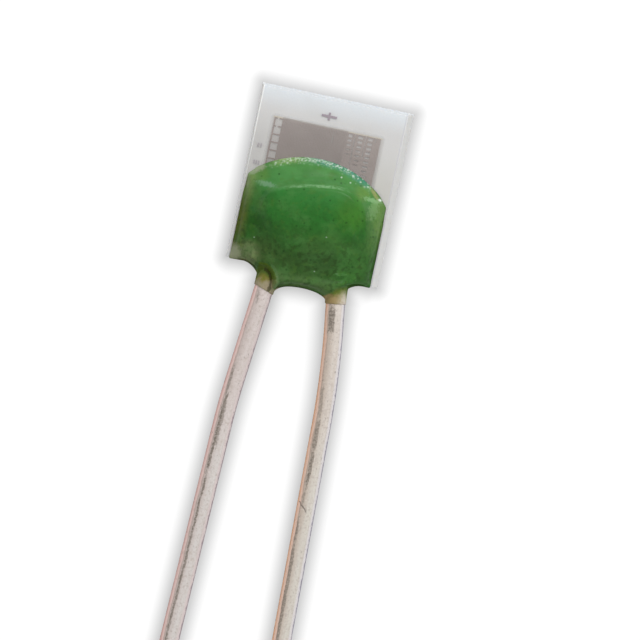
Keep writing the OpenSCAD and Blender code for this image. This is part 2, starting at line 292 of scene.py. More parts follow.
# The face is painted cool and bright at the far end, greyer down the chip, and greyest beside the glaze on
# the left: painted shade of the glaze dome
face_tone = alumina.mix(alumina.along(inward, -1.12, -0.78), paint(221, 226, 230), paint(210, 209, 208))
face_tone = alumina.mix(alumina.along(inward, -0.75, -0.10), face_tone, paint(203, 201, 197))
glaze_shade_beside = alumina.times(alumina.along(right, -0.62, -0.88), alumina.along(inward, -0.95, -0.25))
face_tone = alumina.mix(glaze_shade_beside, face_tone, paint(192, 190, 188))
# Under the fired glass the ceramic has taken a grey stain, deepest in the meander's fine gaps. These are the
# sides of the film and of the meander's field, and the film's far end
film_left, field_left, field_right, film_right, film_far = -0.755, -0.645, 0.215, 0.645, 0.735
stained = alumina.times(
    alumina.times(
        alumina.along(right, film_left - 0.035, film_left),
        alumina.along(right, film_right + 0.07, film_right),
    ),
    alumina.along(outward, film_far + 0.03, film_far),
)
fired_line = alumina.times(alumina.along(outward, film_far - 0.01, film_far + 0.01), stained)
# The stain is painted darker towards the glaze, as painted shade of the glaze dome
stain_and_glaze_shade = alumina.mix(alumina.along(inward, -0.70, -0.32), paint(198, 194, 191), paint(176, 171, 168))
stain_and_glaze_shade = alumina.mix(fired_line, stain_and_glaze_shade, paint(206, 196, 168))
face_tone = alumina.mix(stained, face_tone, stain_and_glaze_shade)
in_field = alumina.times(
    alumina.times(
        alumina.along(right, field_left - 0.002, field_left + 0.002),
        alumina.along(right, field_right + 0.002, field_right - 0.002),
    ),
    stained,
)
face_tone = alumina.lay(in_field, 0.9, face_tone, paint(158, 150, 146))
clouded = alumina.ramp(alumina.grain(0.5), 0.4, 0.75, 0.0, 0.15)
face_tone = alumina.mix(clouded, face_tone, paint(190, 188, 186))
grainy = alumina.ramp(alumina.grain(0.02, 4), 0.3, 0.7, 0.0, 0.08)
face_tone = alumina.mix(grainy, face_tone, paint(186, 184, 182))
# The broken edges are painted in even tones: the left one near white as painted light and the right one grey
# as painted shade. A faint grey line of painted shade shows where the right one starts, and the far rim has a
# painted highlight
at_left, at_right = alumina.along(right, -0.955, -0.975), alumina.along(right, 0.91, 0.93)
face_tone = alumina.mix(at_left, face_tone, paint(253, 253, 250))
face_tone = alumina.lay(at_right, 0.9, face_tone, paint(223, 223, 221))
slope_start_shade = alumina.times(alumina.along(right, 0.895, 0.908), alumina.along(right, 0.925, 0.912))
face_tone = alumina.lay(slope_start_shade, 0.5, face_tone, paint(192, 192, 200))
far_rim_light = alumina.along(outward, 1.115, 1.13)
face_tone = alumina.lay(far_rim_light, 0.6, face_tone, paint(226, 231, 236))
ceramic_relief = alumina.relief(alumina.grain(0.018, 4), 0.0012)
alumina.set(
    Base_Color=face_tone,
    Roughness=alumina.ramp(alumina.grain(0.06), 0.3, 0.7, 0.42, 0.58),
    Specular_IOR_Level=0.4,
    Normal=alumina.relief(alumina.grain(0.25), 0.002, ceramic_relief),
    Subsurface_Weight=0.35,
    Subsurface_Radius=(1.0, 0.9, 0.8),
    Subsurface_Scale=0.12 * MM,
)
alumina.on(chip)


# Platinum film and printed marks
# The film is platinum, sputtered on the ceramic and etched into a meander, and trimmed by cutting the rungs
# of its ladders with a laser. The cross and the ticks are printed in the same step and a little darker.
def film_finish(name, far_colour, glaze_shade_colour, patch_colour):
    """The film is painted lighter at its far end and darker towards the glaze, as painted shade of the glaze
    dome, with soft darker patches.
    """
    film = Finish(name, 0.5, metallic=0.2)
    colour = film.mix(film.along(inward, -0.72, -0.36), far_colour, glaze_shade_colour)
    patches = film.ramp(film.grain(0.35, 4), 0.35, 0.7)
    colour = film.lay(patches, 0.35, colour, patch_colour)
    speck = film.ramp(film.grain(0.016, 3), 0.4, 0.75)
    film.set(
        Base_Color=film.lay(speck, 0.12, colour, patch_colour),
        Roughness=film.ramp(film.grain(0.05), 0.3, 0.7, 0.42, 0.6),
        Normal=film.relief(film.grain(0.012, 3), 0.0005),
    )
    return film


for name, node, far_tone, glaze_shade_tone, patch_tone in (
    ("platinum_film", "platinum_track", (160, 149, 144), (147, 135, 130), (138, 127, 123)),
    ("printed_cross", "alignment_cross", (158, 147, 155), (158, 147, 155), (146, 136, 142)),
    ("printed_ticks", "position_ticks", (176, 170, 175), (172, 166, 170), (156, 150, 154)),
):
    film_finish(name, paint(*far_tone), paint(*glaze_shade_tone), paint(*patch_tone)).on(nodes[node])


# Clear glass over the film
# A thin layer of clear glass, printed over the film and fired, with round corners and a soft edge. It lies
# on the film here, so that its underside and the film's face don't share a plane.
glass_low, glass_high = (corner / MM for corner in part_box("passivation_glass"))
film_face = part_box("platinum_track")[1].z / MM
glass_corner = 0.06
glass_gap = 0.0006


def rounded_plate(low, high, corner, draw_in, z, steps=10):
    """One ring round a plate with round corners, drawn in on all sides, at height z."""
    ring = []
    for cx, cy, start in (
        (high.x - corner, low.y + corner, -90),
        (high.x - corner, high.y - corner, 0),
        (low.x + corner, high.y - corner, 90),
        (low.x + corner, low.y + corner, 180),
    ):
        for i in range(steps + 1):
            a = math.radians(start + 90 * i / steps)
            r = corner - draw_in
            ring.append((cx + r * math.cos(a), cy + r * math.sin(a), z))
    return ring


# The soft edge: how far each ring is drawn in, and its height
glass_edge = [
    (0.003, film_face + glass_gap),
    (0.003, glass_high.z - 0.008),
    (0.006, glass_high.z - 0.003),
    (0.014, glass_high.z - 0.0005),
    (0.03, glass_high.z),
]
glass_rings = [rounded_plate(glass_low, glass_high, glass_corner, draw_in, z) for draw_in, z in glass_edge]
cover = ringed_piece("clear_cover", glass_rings)
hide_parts("passivation_glass")
clear = Finish("clear_glass", 0.2)
clear.set(
    Base_Color=clear.mix(clear.ramp(clear.grain(0.3), 0.3, 0.7), paint(214, 212, 214), paint(200, 198, 200)),
    Alpha=0.05,
    IOR=1.5,
    Normal=clear.relief(clear.grain(0.2), 0.002),
)
clear.on(cover)


# Contact pads
# Thick-film pads of metal paste, printed over the ends of the film and fired. The leads are bonded to them,
# and the glaze buries both.
pad = Finish("pad_paste", 0.6, metallic=0.8)
pad.set(
    Base_Color=pad.mix(pad.ramp(pad.grain(0.05, 4), 0.3, 0.7), paint(178, 172, 165), paint(150, 145, 140)),
    Normal=pad.relief(pad.grain(0.03, 4), 0.003),
)
pad.on(nodes["contact_pad_left"], nodes["contact_pad_right"])


# Lead wires
# Drawn nickel wire with a thin noble skin, bonded flat to the pads and bent down and inwards past the glaze.
# Drawing left fine lines along it, and handling left nicks and a scratch. Dark streaks run along it beside
# the top.
wire_r = 0.125
bond_press = 0.015
pad_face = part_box("contact_pad_left")[1].z / MM
axis_z = pad_face + wire_r - bond_press
lead_edge = chip_low.y
lead_length = 10.0
bond_length = 0.55
# The bond is flat below from foot_start past the chip's edge, and pressed flat on top from tool_start
foot_start = 0.06
tool_start, tool_face = 0.25, pad_face + 0.17
dip_start, dip_radius = 0.42, 1.2
dip_angle = math.asin((axis_z - wire_r) / (lead_length - dip_start))
around_steps = 96
detail_end, coarse_step = 4.3, 0.06


class Lead:
    """Where a lead crosses the lead edge, its angles there and at the tip, and its sideways bend."""

    def __init__(self, name, x, start_angle, tip_angle, bend_start, bend_radius):
        self.name, self.x, self.hand = name, x, 1 if x > 0 else -1
        self.start_angle, self.tip_angle = math.radians(start_angle), math.radians(tip_angle)
        self.bend_start, self.bend_radius = bend_start, bend_radius

    def stations(self):
        """Distances along the wire from the lead edge, closer together where there is fine detail."""
        fine = [(2.75, 3.35, 0.008), (3.35, detail_end, 0.02), (-bond_length, 2.75, 0.025)]
        places = [low + step * i for low, high, step in fine for i in range(int((high - low) / step))]
        coarse_count = int((lead_length - detail_end) / coarse_step)
        places += [detail_end + coarse_step * i for i in range(coarse_count)]
        return sorted(places)

    def frame_at(self, s):
        """The wire's place and direction at distance s, as a matrix whose Z runs out along it."""
        here = Matrix.Translation((self.x, lead_edge, axis_z))
        facing_out = Matrix.Rotation(math.radians(90), 4, "X")
        here @= Matrix.Rotation(self.hand * self.start_angle, 4, "Z") @ facing_out
        turn = self.start_angle - self.tip_angle
        bends = [
            (dip_start, dip_angle, dip_radius, math.radians(-90)),
            (self.bend_start, turn, self.bend_radius, math.pi if self.hand > 0 else 0.0),
        ]
        at = 0.0
        for start, angle, radius, towards in bends:
            if s <= start:
                break
            here @= Matrix.Translation((0, 0, start - at))
            done = min(angle, (s - start) / radius)
            here @= Matrix.Rotation(towards, 4, "Z")
            here @= Matrix.Translation((radius * (1 - math.cos(done)), 0, radius * math.sin(done)))
            here @= Matrix.Rotation(done, 4, "Y") @ Matrix.Rotation(-towards, 4, "Z")
            at = start + radius * done
        return here @ Matrix.Translation((0, 0, s - at))


left_lead = Lead("left", -0.40, 5.6, 1.8, 1.55, 9.0)
right_lead = Lead("right", 0.468, 8.0, 1.6, 0.6, 11.6)
LEADS = [left_lead, right_lead]
# Marks of handling: lead, distance along it, degrees round it from the top, radius and depth
NICKS = [
    ("left", 2.80, -33, 0.030, 0.010),
    ("left", 2.76, -8, 0.022, 0.006),
    ("right", 3.39, -32, 0.018, 0.008),
    ("right", 0.50, -14, 0.05, 0.004),
    ("left", 1.32, -2, 0.022, 0.004),
    ("right", 1.05, -18, 0.02, 0.003),
    ("right", 0.58, 18, 0.022, 0.004),
]
# The scratch on the right lead: distance along and degrees round, from end to end
SCRATCH = [(2.875, -72), (2.90, -52), (2.945, -34), (2.965, -20), (2.985, -8), (3.02, 2)]
scratch_width, scratch_depth = 0.009, 0.006
scratch_from, scratch_to = 2.9, 3.2
# The cut end is a little rounded: distances along, and how far the wire is drawn in there
CUT_END = [(lead_length - 0.012, 0.0), (lead_length - 0.004, 0.003), (lead_length, 0.009)]
# The drawing lines, broad and fine, are this deep
broad_line, fine_line = 0.0012, 0.0006


def off_scratch(s, around):
    """Distance in millimetres on the wire's surface from the scratch."""
    best = 1.0
    for (s0, a0), (s1, a1) in zip(SCRATCH, SCRATCH[1:]):
        ax, ay, bx, by = s0, math.radians(a0) * wire_r, s1, math.radians(a1) * wire_r
        px, py = s - ax, around * wire_r - ay
        dx, dy = bx - ax, by - ay
        t = max(0.0, min(1.0, (px * dx + py * dy) / (dx * dx + dy * dy)))
        best = min(best, math.hypot(px - t * dx, py - t * dy))
    return best


def lead_mesh(lead):
    """The wire with its drawing lines, nicks and scratch, and at each point its place round and along."""
    points, around_of, along_of, mark_of = [], [], [], []
    stations = [(s, 0.0) for s in lead.stations()] + CUT_END
    for s, shrink in stations:
        here = lead.frame_at(s)
        for i in range(around_steps):
            # 0 is the top of the wire and the seam lies underneath
            a = -math.pi + 2 * math.pi * i / around_steps
            broad = noise.noise(Vector((a * 7.0, s * 0.35, lead.hand)))
            fine = noise.noise(Vector((a * 23.0, s * 0.9, 4.0 + lead.hand)))
            depth = broad_line * max(0.0, broad) + fine_line * abs(fine) + shrink
            mark = 0.0
            for owner, at, degrees, radius, deep in NICKS:
                if owner == lead.name and abs(s - at) < 3 * radius:
                    away = math.hypot(s - at, (a - math.radians(degrees)) * wire_r)
                    depth += deep * math.exp(-((away / radius) ** 2) * 2)
            if lead.name == "right" and scratch_from < s < scratch_to:
                mark = math.exp(-((off_scratch(s, a) / scratch_width) ** 2))
                depth += scratch_depth * mark
            r = wire_r - depth
            p = here @ Vector((r * math.sin(a), r * math.cos(a), 0))
            onto_chip = p.y - lead_edge
            if onto_chip > foot_start:
                p.z = max(p.z, pad_face)
            if onto_chip > tool_start:
                p.z = min(p.z, tool_face)
            points.append(tuple(p))
            around_of.append(a / math.pi)
            along_of.append(s)
            mark_of.append(mark)
    bands, bond_cap, tip_cap = ring_faces(len(stations), around_steps)
    piece = mesh_piece("wire_" + lead.name, points, [*bands, bond_cap, tip_cap])
    keep_at_points(piece.data, around=around_of, along=along_of, mark=mark_of)
    return piece


# Dark stretches of the streak beside the top: from and to along the lead, from and to round it (as a share of
# a half turn from the top, with the left side below 0), and how dark
STREAKS = {
    "left": [
        (0.22, 0.62, -0.18, -0.07, 0.75),
        (1.25, 1.90, -0.20, -0.11, 0.75),
        (1.60, 2.90, -0.165, -0.075, 1.00),
        (1.70, 2.55, -0.12, -0.015, 0.80),
        (2.70, 3.65, -0.15, -0.075, 1.00),
        (3.30, 5.20, -0.16, -0.08, 0.95),
    ],
    "right": [
        (0.22, 0.80, -0.18, 0.02, 1.00),
        (1.25, 1.95, -0.18, -0.09, 0.60),
        (1.70, 2.35, -0.18, -0.04, 0.85),
        (2.10, 2.80, -0.16, -0.05, 1.00),
        (2.60, 3.10, -0.17, -0.10, 0.60),
        (3.00, 3.60, -0.22, -0.15, 0.80),
        (3.30, 4.90, -0.22, -0.11, 0.80),
    ],
}
# The dull metal in painted shade beside the left flank, in painted light on top, on the left flank, in the
# line between, at the left rim, painted lighter by painted light on the right flank, and at the right rim
TONES = {
    "left": [
        (200, 187, 182), (209, 199, 195), (233, 204, 198), (188, 169, 161), (224, 178, 169), (228, 214, 212),
        (156, 138, 146),
    ],
    "right": [
        (197, 183, 170), (211, 202, 193), (240, 206, 188), (184, 164, 150), (239, 184, 142), (230, 225, 226),
        (148, 143, 160),
    ],
}


def wire_finish(name, lead):
    """Dull drawn metal with grainy spots, a dark streak beside the top and a rosy left flank."""
    wire = Finish(name, 0.5, metallic=0.3)
    around, along, mark = wire.measured("around"), wire.measured("along"), wire.measured("mark")
    shaded, lit, flank, line, left_rim, lit_right_flank, right_rim = (paint(*tone) for tone in TONES[lead.name])
    # Noise that runs in lines along the wire: fine round it, long along it
    flow = wire.add("ShaderNodeCombineXYZ", {"X": wire.times(around, 9.0), "Y": wire.times(along, 0.8)})
    lines = wire.add("ShaderNodeTexNoise", {"Vector": flow.outputs[0], "Scale": 1.6, "Detail": 4.0})
    # Further out the metal is less rosy
    lit = wire.mix(wire.ramp(along, 1.6, 2.8, 0.0, 0.8), lit, paint(210, 206, 202 if lead.hand < 0 else 196))
    colour = wire.mix(wire.ramp(around, -0.15, 0.10), shaded, lit)
    colour = wire.mix(wire.ramp(lines.outputs["Fac"], 0.4, 0.75, 0.0, 0.35), colour, shaded)
    for size, detail, low, high, share, tone in (
        (0.06, 5, 0.45, 0.75, 0.45, (190, 178, 168)),
        (0.03, 4, 0.50, 0.68, 0.4, (178, 166, 158)),
        (0.025, 3, 0.56, 0.70, 0.4, (226, 218, 212)),
    ):
        spots = wire.ramp(wire.grain(size, detail), low, high, 0.0, share)
        colour = wire.mix(spots, colour, paint(*tone))
    # What lies beside the top wanders a little along the wire
    wander = wire.ramp(wire.grain(0.30, 3), 0.3, 0.7, -0.022, 0.022, smooth=False)
    place = wire.plus(around, wander)
    colour = wire.mix(wire.ramp(place, -0.20, -0.25), colour, flank)
    # Painted light: the right flank is painted lighter
    colour = wire.mix(wire.ramp(around, 0.20, 0.27, 0.0, 0.85), colour, lit_right_flank)
    beside_flank = wire.times(wire.ramp(place, -0.25, -0.215), wire.ramp(place, -0.165, -0.20))
    colour = wire.lay(beside_flank, wire.ramp(wire.grain(0.05, 3), 0.3, 0.6, 0.35, 0.95), colour, line)
    # Both rims are broken up: rosy with dark dashes on the left, a thin dark line on the right
    dashes = wire.grain(0.07, 3)
    colour = wire.mix(wire.ramp(place, -0.30, -0.37), colour, left_rim)
    left_dark = wire.times(wire.ramp(around, -0.39, -0.42), wire.ramp(dashes, 0.42, 0.58))
    colour = wire.lay(left_dark, 0.7, colour, paint(150, 96, 84))
    edge_wander = wire.plus(around, wire.ramp(dashes, 0.3, 0.7, -0.04, 0.04, smooth=False))
    colour = wire.mix(wire.ramp(edge_wander, 0.33, 0.40), colour, right_rim)
    # Below both rims the wire is plain dull metal
    below = wire.larger(wire.ramp(around, -0.42, -0.46), wire.ramp(around, 0.44, 0.48))
    dull = wire.mix(wire.ramp(wire.grain(0.05, 4), 0.4, 0.7), paint(204, 195, 187), paint(182, 172, 164))
    colour = wire.mix(below, colour, dull)
    # Each dark stretch tapers out at its ends and is broken up by grain
    ragged = wire.ramp(wire.grain(0.022, 4, (1, 0.45, 1)), 0.3, 0.7, -0.45, 0.45, smooth=False)
    soft, taper = 0.035, 0.28
    streak = None
    for low, high, one_side, other_side, dark in STREAKS[lead.name]:
        width = wire.times(
            wire.ramp(place, one_side - soft, one_side + soft),
            wire.ramp(place, other_side + soft, other_side - soft),
        )
        reach = wire.times(wire.ramp(along, low, low + taper), wire.ramp(along, high, high - taper))
        part = wire.ramp(wire.plus(wire.times(width, reach), ragged), 0.15, 0.75, 0.0, dark)
        streak = part if streak is None else wire.larger(streak, part)
    streak = wire.times(streak, wire.ramp(wire.grain(0.024, 4), 0.32, 0.60, 0.45, 1.0))
    colour = wire.mix(streak, colour, paint(126, 117, 107))
    colour = wire.lay(mark, 0.8, colour, paint(96, 88, 84))
    wire.set(
        Base_Color=colour,
        Roughness=wire.ramp(lines.outputs["Fac"], 0.3, 0.7, 0.46, 0.62),
        Specular_IOR_Level=0.3,
        Normal=wire.relief(lines.outputs["Fac"], 0.0012, wire.relief(wire.grain(0.01, 2), 0.0003)),
    )
    return wire


for lead in LEADS:
    wire_piece = lead_mesh(lead)
    wire_finish("drawn_wire_" + lead.name, lead).on(wire_piece)
    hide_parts("lead_wire_" + lead.name)


# Fixing glaze
# Green glass paste, dropped over the bonds and melted. It set as a two-step dome that wets the ceramic, spans
# the leads as a web and climbs each of them as a collar. A bubble burst beside the left lead.
wet_below = 0.03
voxel = 0.0125
# Points this near to a level count as lying on it
hair = 0.0005
collar_radius = wire_r + 0.012
collar_start = -0.5
collar_steps = 48
# How far each collar reaches out along its lead, and the slant of its end in degrees. The left one reaches
# further on its inner side.
COLLARS = [(left_lead, 0.322, 14), (right_lead, 0.317, 0)]
# The block that fills the hollows round the bonds and the pads
fill_low = Vector((-0.68, lead_edge + 0.03, chip_top - wet_below + 0.004))
fill_high = Vector((0.70, lead_edge + 0.68, axis_z + 0.12))


def filled_drop():
    """The CAD drop with its hidden hollows filled, in millimetres, as overlapping closed shells."""
    work = bmesh.new()
    work.from_mesh(nodes["fixing_glaze"].data)
    for v in work.verts:
        v.co /= MM
        # Where the drop stands on the chip it goes down a little further, so that its edge meets the ceramic
        if v.co.y > lead_edge - hair and v.co.z < glass_high.z + hair:
            v.co.z = chip_top - wet_below
    for lead, reach, slant in COLLARS:
        start, end = lead.frame_at(collar_start), lead.frame_at(reach)
        rings = []
        for here, lean in ((start, 0), (end, slant)):
            for i in range(collar_steps):
                a = 2 * math.pi * i / collar_steps
                x, y = collar_radius * math.cos(a), collar_radius * math.sin(a)
                rings.append(here @ Vector((x, y, x * math.tan(math.radians(lean)))))
        made = [work.verts.new(p) for p in rings]
        bands, inner_cap, outer_cap = ring_faces(2, collar_steps)
        for face in (*bands, inner_cap, outer_cap):
            work.faces.new([made[i] for i in face])
    block = bmesh.ops.create_cube(work, size=1.0)["verts"]
    for v in block:
        v.co = Vector((fill_low[k] + (v.co[k] + 0.5) * (fill_high[k] - fill_low[k]) for k in range(3)))
    mesh = bpy.data.meshes.new("drop_shells")
    work.to_mesh(mesh)
    work.free()
    return mesh


shells = put_in_scene("drop_shells", filled_drop())
remesh = shells.modifiers.new("melt", "REMESH")
remesh.mode, remesh.voxel_size, remesh.adaptivity = "VOXEL", voxel, 0.0
bpy.context.view_layer.update()
melted = bpy.data.meshes.new_from_object(shells.evaluated_get(bpy.context.evaluated_depsgraph_get()))
bpy.data.objects.remove(shells)

points = np.empty(len(melted.vertices) * 3)
melted.vertices.foreach_get("co", points)
points = points.reshape(-1, 3)
edges = np.empty(len(melted.edges) * 2, int)
melted.edges.foreach_get("vertices", edges)
edges = edges.reshape(-1, 2)
neighbours = np.bincount(edges.ravel(), minlength=len(points))


def neighbour_mean(values):
    """The mean of the values at the points that share an edge with each point."""
    total = np.empty_like(values)
    for k in range(values.shape[1]):
        total[:, k] = np.bincount(edges[:, 0], values[edges[:, 1], k], len(values)) + np.bincount(
            edges[:, 1], values[edges[:, 0], k], len(values)
        )
    return total / neighbours[:, None]


def wire_distance(p):
    """Distance of points from the surface of the nearer lead, near the chip."""
    best = np.full(len(p), 9.0)
    for lead in LEADS:
        start = np.array(lead.frame_at(-bond_length).translation)
        end = np.array(lead.frame_at(dip_start).translation)
        way = (end - start) / np.linalg.norm(end - start)
        rel = p - start
        t = np.clip(rel @ way, 0, np.linalg.norm(end - start))
        best = np.minimum(best, np.linalg.norm(rel - t[:, None] * way, axis=1) - wire_r)
    return best


# Melted glass is smooth: the dome is eased most, and the thin collars and the burst bubble's wall least. Each
# turn pulls the points together and pushes them out again, so that the drop keeps its size.
bubble = np.array((-0.56, lead_edge - 0.24, axis_z + 0.28))
bubble_r = 0.26
ease_turns = 36
ease_pull, ease_push = 0.6, -0.62
least_ease = 0.12
skin_left, collar_fade, bubble_fade = 0.03, 0.12, 0.08
from_collar = np.clip((wire_distance(points) - skin_left) / collar_fade, 0.0, 1.0)
from_wall = np.clip(abs(np.linalg.norm(points - bubble, axis=1) - bubble_r) / bubble_fade, 0.0, 1.0)
past_edge = points[:, 1] < lead_edge + 0.08
ease = least_ease + (1 - least_ease) * np.where(past_edge, np.minimum(from_collar, from_wall), 1.0)
for turn in range(ease_turns):
    for pull in (ease_pull, ease_push):
        points += pull * ease[:, None] * (neighbour_mean(points) - points)
melted.vertices.foreach_set("co", (points * MM).ravel())
melted.update()
drop = put_in_scene("glaze_drop", melted)
melted.shade_smooth()
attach(drop, "root")
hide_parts("fixing_glaze")
# What the colour follows at each point: the glaze's height over the nearer lead, the way in from the far arc,
# the bubble's wall and the dark line in the gap at the lead, which both carry painted shade, and its lip, and
# the crest of the second step, which is a rounded frame set askew
arc_centre = np.array((-0.061, lead_edge + 0.1955))
arc_radius = 1.286
from_bubble = np.linalg.norm(points - bubble, axis=1) - bubble_r
off_lead = wire_distance(points)
wall_band, bare_wire = 0.022, 0.012
line_height, line_half = 0.020, 0.012
beside = (points[:, 0] > bubble[0]) & (points[:, 1] > bubble[1] - 0.12)
wall = beside & (abs(from_bubble) < wall_band)
on_wall = wall & (off_lead > bare_wire)
gap_shade_line = wall & (abs(off_lead - line_height) < line_half) & (points[:, 0] > -0.48)
on_lip = beside & (from_bubble > 0.02) & (from_bubble < 0.06) & (off_lead > 0.02) & (points[:, 0] > -0.40)
from_heart = points[:, :2] - np.array((0.02, lead_edge + 0.56))
step_skew, step_power = math.radians(11), 3.2
step_half_width, step_half_length = 0.74, 0.62
step_u = from_heart @ np.array((math.cos(step_skew), math.sin(step_skew))) / step_half_width
step_v = from_heart @ np.array((-math.sin(step_skew), math.cos(step_skew))) / step_half_length
step_norm = (abs(step_u) ** step_power + abs(step_v) ** step_power) ** (1 / step_power)
keep_at_points(
    melted,
    over_lead=np.maximum(off_lead, 0.0),
    from_arc=arc_radius - np.linalg.norm(points[:, :2] - arc_centre, axis=1),
    bubble_wall=on_wall.astype(float),
    bubble_line=gap_shade_line.astype(float),
    bubble_lip=on_lip.astype(float),
    step_norm=step_norm,
)

glaze = Finish("green_glaze", 0.3)
over_lead, crest = glaze.measured("over_lead"), glaze.measured("step_norm")
# The gloss lays a little white over every colour, so each colour is mixed that much darker
gloss_level, gloss_white = 0.1, 0.009


def in_glass(red, green, blue):
    """A colour of the glass as it looks with its gloss, from 0 to 255."""
    return (*(max(0.0, c - gloss_white) for c in paint(red, green, blue)[:3]), 1.0)


def up_the_chip(low, high):
    """0 below one distance from the lead edge and 1 above another."""
    return glaze.along(outward, lead_edge + low, lead_edge + high)


# The glass is deepest green at the heart, lighter on the first step, and olive over the bonds and in the web
colour = glaze.mix(up_the_chip(0.95, 1.35), in_glass(56, 120, 56), in_glass(86, 141, 74))
for start, end, tone in (
    (1.00, 0.72, (50, 108, 47)),
    (0.70, 0.38, (55, 100, 46)),
    (0.36, 0.10, (62, 94, 47)),
    (0.02, -0.12, (86, 114, 68)),
):
    colour = glaze.mix(up_the_chip(start, end), colour, in_glass(*tone))
first_step = glaze.times(glaze.ramp(crest, 0.85, 0.93), up_the_chip(0.86, 1.02))
colour = glaze.lay(first_step, 0.75, colour, in_glass(80, 137, 76))
# Casts of colour: the place across the chip and along it from the lead edge, the distances where the cast is
# full and where it has gone, its share and its colour
CASTS = [
    (0.50, 0.86, 0.08, 0.34, 0.60, (76, 126, 48)),
    (0.64, 0.18, 0.16, 0.46, 0.95, (68, 116, 56)),
    (0.30, 0.50, 0.04, 0.20, 0.70, (70, 114, 57)),
    (0.18, 0.20, 0.10, 0.34, 0.85, (67, 100, 54)),
    (-0.75, 0.48, 0.05, 0.22, 0.70, (42, 84, 31)),
    (-0.56, 0.14, 0.08, 0.30, 0.85, (72, 98, 52)),
    (-0.77, 0.67, 0.02, 0.08, 0.45, (46, 108, 64)),
    (-0.76, 0.07, 0.08, 0.24, 0.95, (120, 128, 90)),
    (-0.71, 0.72, 0.03, 0.14, 0.50, (80, 124, 56)),
    (0.12, 0.26, 0.12, 0.30, 0.50, (70, 108, 56)),
    (-0.82, 0.88, 0.02, 0.18, 0.60, (84, 124, 66)),
    (-0.78, 1.13, 0.04, 0.16, 0.70, (102, 142, 70)),
    (0.57, 1.16, 0.04, 0.15, 0.70, (112, 148, 70)),
]
for x, along, full, none, share, tone in CASTS:
    cast = glaze.near(x, lead_edge + along, full, none)
    colour = glaze.lay(cast, share, colour, in_glass(*tone))
# Thin glass at both sides lets the ceramic through: brown on the left, yellow-green on the right
left_side = glaze.along(right, -0.78, -0.90)
left_tone = glaze.mix(up_the_chip(0.60, 1.02), in_glass(92, 104, 43), in_glass(130, 156, 92))
colour = glaze.lay(left_side, 0.95, colour, left_tone)
right_side = glaze.along(right, 0.66, 0.84)
right_tone = glaze.mix(up_the_chip(0.30, 0.80), in_glass(64, 107, 52), in_glass(106, 140, 75))
colour = glaze.lay(right_side, 0.9, colour, right_tone)
# Clouds and dark flecks in the glass, coarser and browner over the bonds
clouds = glaze.ramp(glaze.grain(0.20, 4), 0.35, 0.65)
light_clouds = glaze.ramp(glaze.grain(0.24, 5, (1, 1.3, 1)), 0.50, 0.70)
mottle = glaze.times(glaze.ramp(glaze.grain(0.05, 4), 0.48, 0.66), up_the_chip(1.10, 0.70))
warm_mottle = glaze.ramp(glaze.grain(0.09, 4, (1.2, 1, 1)), 0.52, 0.68)
blotches = glaze.times(glaze.ramp(glaze.grain(0.075, 3), 0.50, 0.66), up_the_chip(0.70, 0.30))
for where, share, tone in (
    (clouds, 0.26, (44, 86, 36)),
    (light_clouds, 0.35, (84, 132, 72)),
    (mottle, 0.3, (42, 78, 36)),
    (warm_mottle, 0.25, (82, 116, 50)),
    (blotches, 0.5, (46, 66, 32)),
    (glaze.dots(0.09, 0.019), 0.55, (34, 64, 30)),
):
    colour = glaze.lay(where, share, colour, in_glass(*tone))


def blot(x, y, half_length, half_width, turn=0.0, ragged=0.8):
    """1 in the middle of a long spot in plan and 0 outside it, with an edge broken up by noise."""
    own_frame = glaze.add(
        "ShaderNodeMapping",
        {
            "Vector": glaze.in_mm((1, 1, 0)),
            "Location": (x, lead_edge + y, 0.0),
            "Rotation": (0.0, 0.0, math.radians(turn)),
            "Scale": (half_length, half_width, 1.0),
        },
        vector_type="TEXTURE",
    )
    out = glaze.add("ShaderNodeVectorMath", {0: own_frame.outputs["Vector"]}, operation="LENGTH")
    torn = glaze.ramp(glaze.grain(0.03, 4), 0.2, 0.8, -ragged / 2, ragged / 2, smooth=False)
    return glaze.ramp(glaze.plus(out.outputs["Value"], torn), 1.15, 0.35)


# Painted highlight: the crest of the second step is painted pale where it would catch the light along its far
# side and at its left corner, and a painted highlight runs out as a pale streak to the right corner of the
# drop
crest_highlight = glaze.times(glaze.ramp(crest, 0.845, 0.89), glaze.ramp(crest, 0.95, 0.90))
crest_highlight = glaze.times(crest_highlight, glaze.ramp(glaze.grain(0.045, 4), 0.40, 0.60, 0.25, 1.0))
crest_highlight = glaze.times(crest_highlight, blot(-0.05, 1.11, 0.46, 0.18, 12, 0.5))
